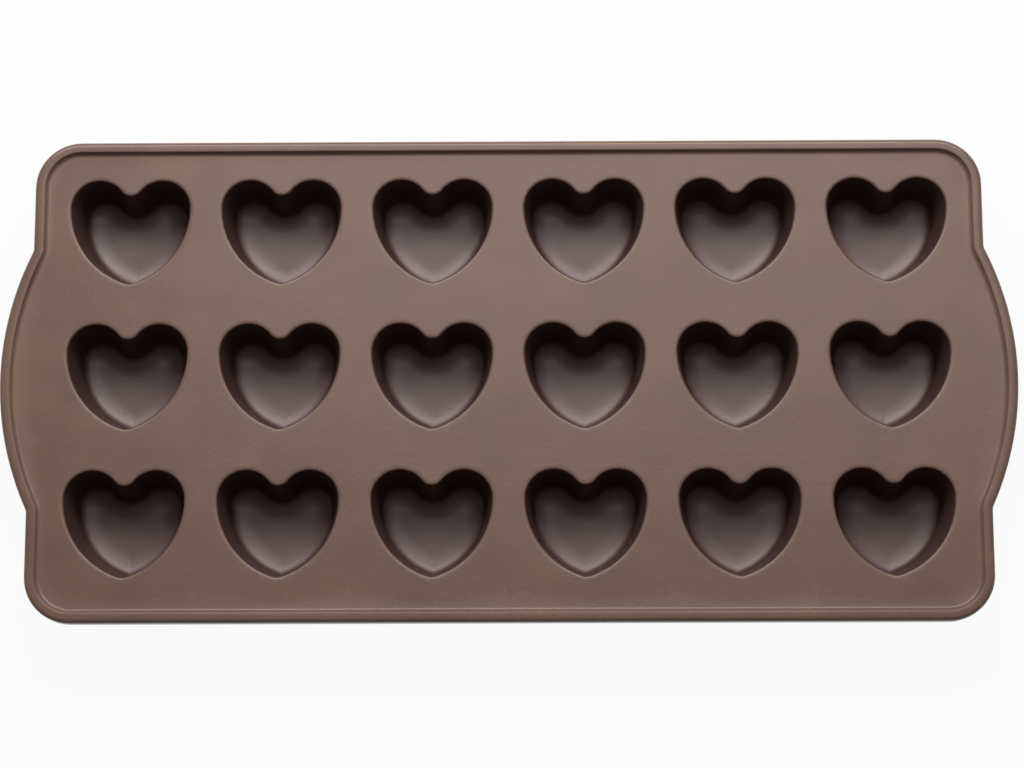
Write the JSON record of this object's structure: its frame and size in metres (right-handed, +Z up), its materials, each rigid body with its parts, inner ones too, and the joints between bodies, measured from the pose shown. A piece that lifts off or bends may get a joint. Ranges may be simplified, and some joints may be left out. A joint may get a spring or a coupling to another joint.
{
  "type": "chocolate mould",
  "caption": "Flexible one-piece silicone tray of deep heart-shaped cups for casting chocolates, with a raised rim and a curved pull ear at each end.",
  "frame": {"origin": "under the middle of the tray, at the level of the cup bottoms that it stands on", "axes": "+Z up, out of the open cups; X along the tray from ear to ear; +Y towards the side that the lobes of the hearts point to"},
  "size_m": [0.2196, 0.1056, 0.0155],
  "materials": {
    "silicone": "satin"
  },
  "bodies": {
    "root": {"mould": "silicone"}
  },
  "joints": []
}
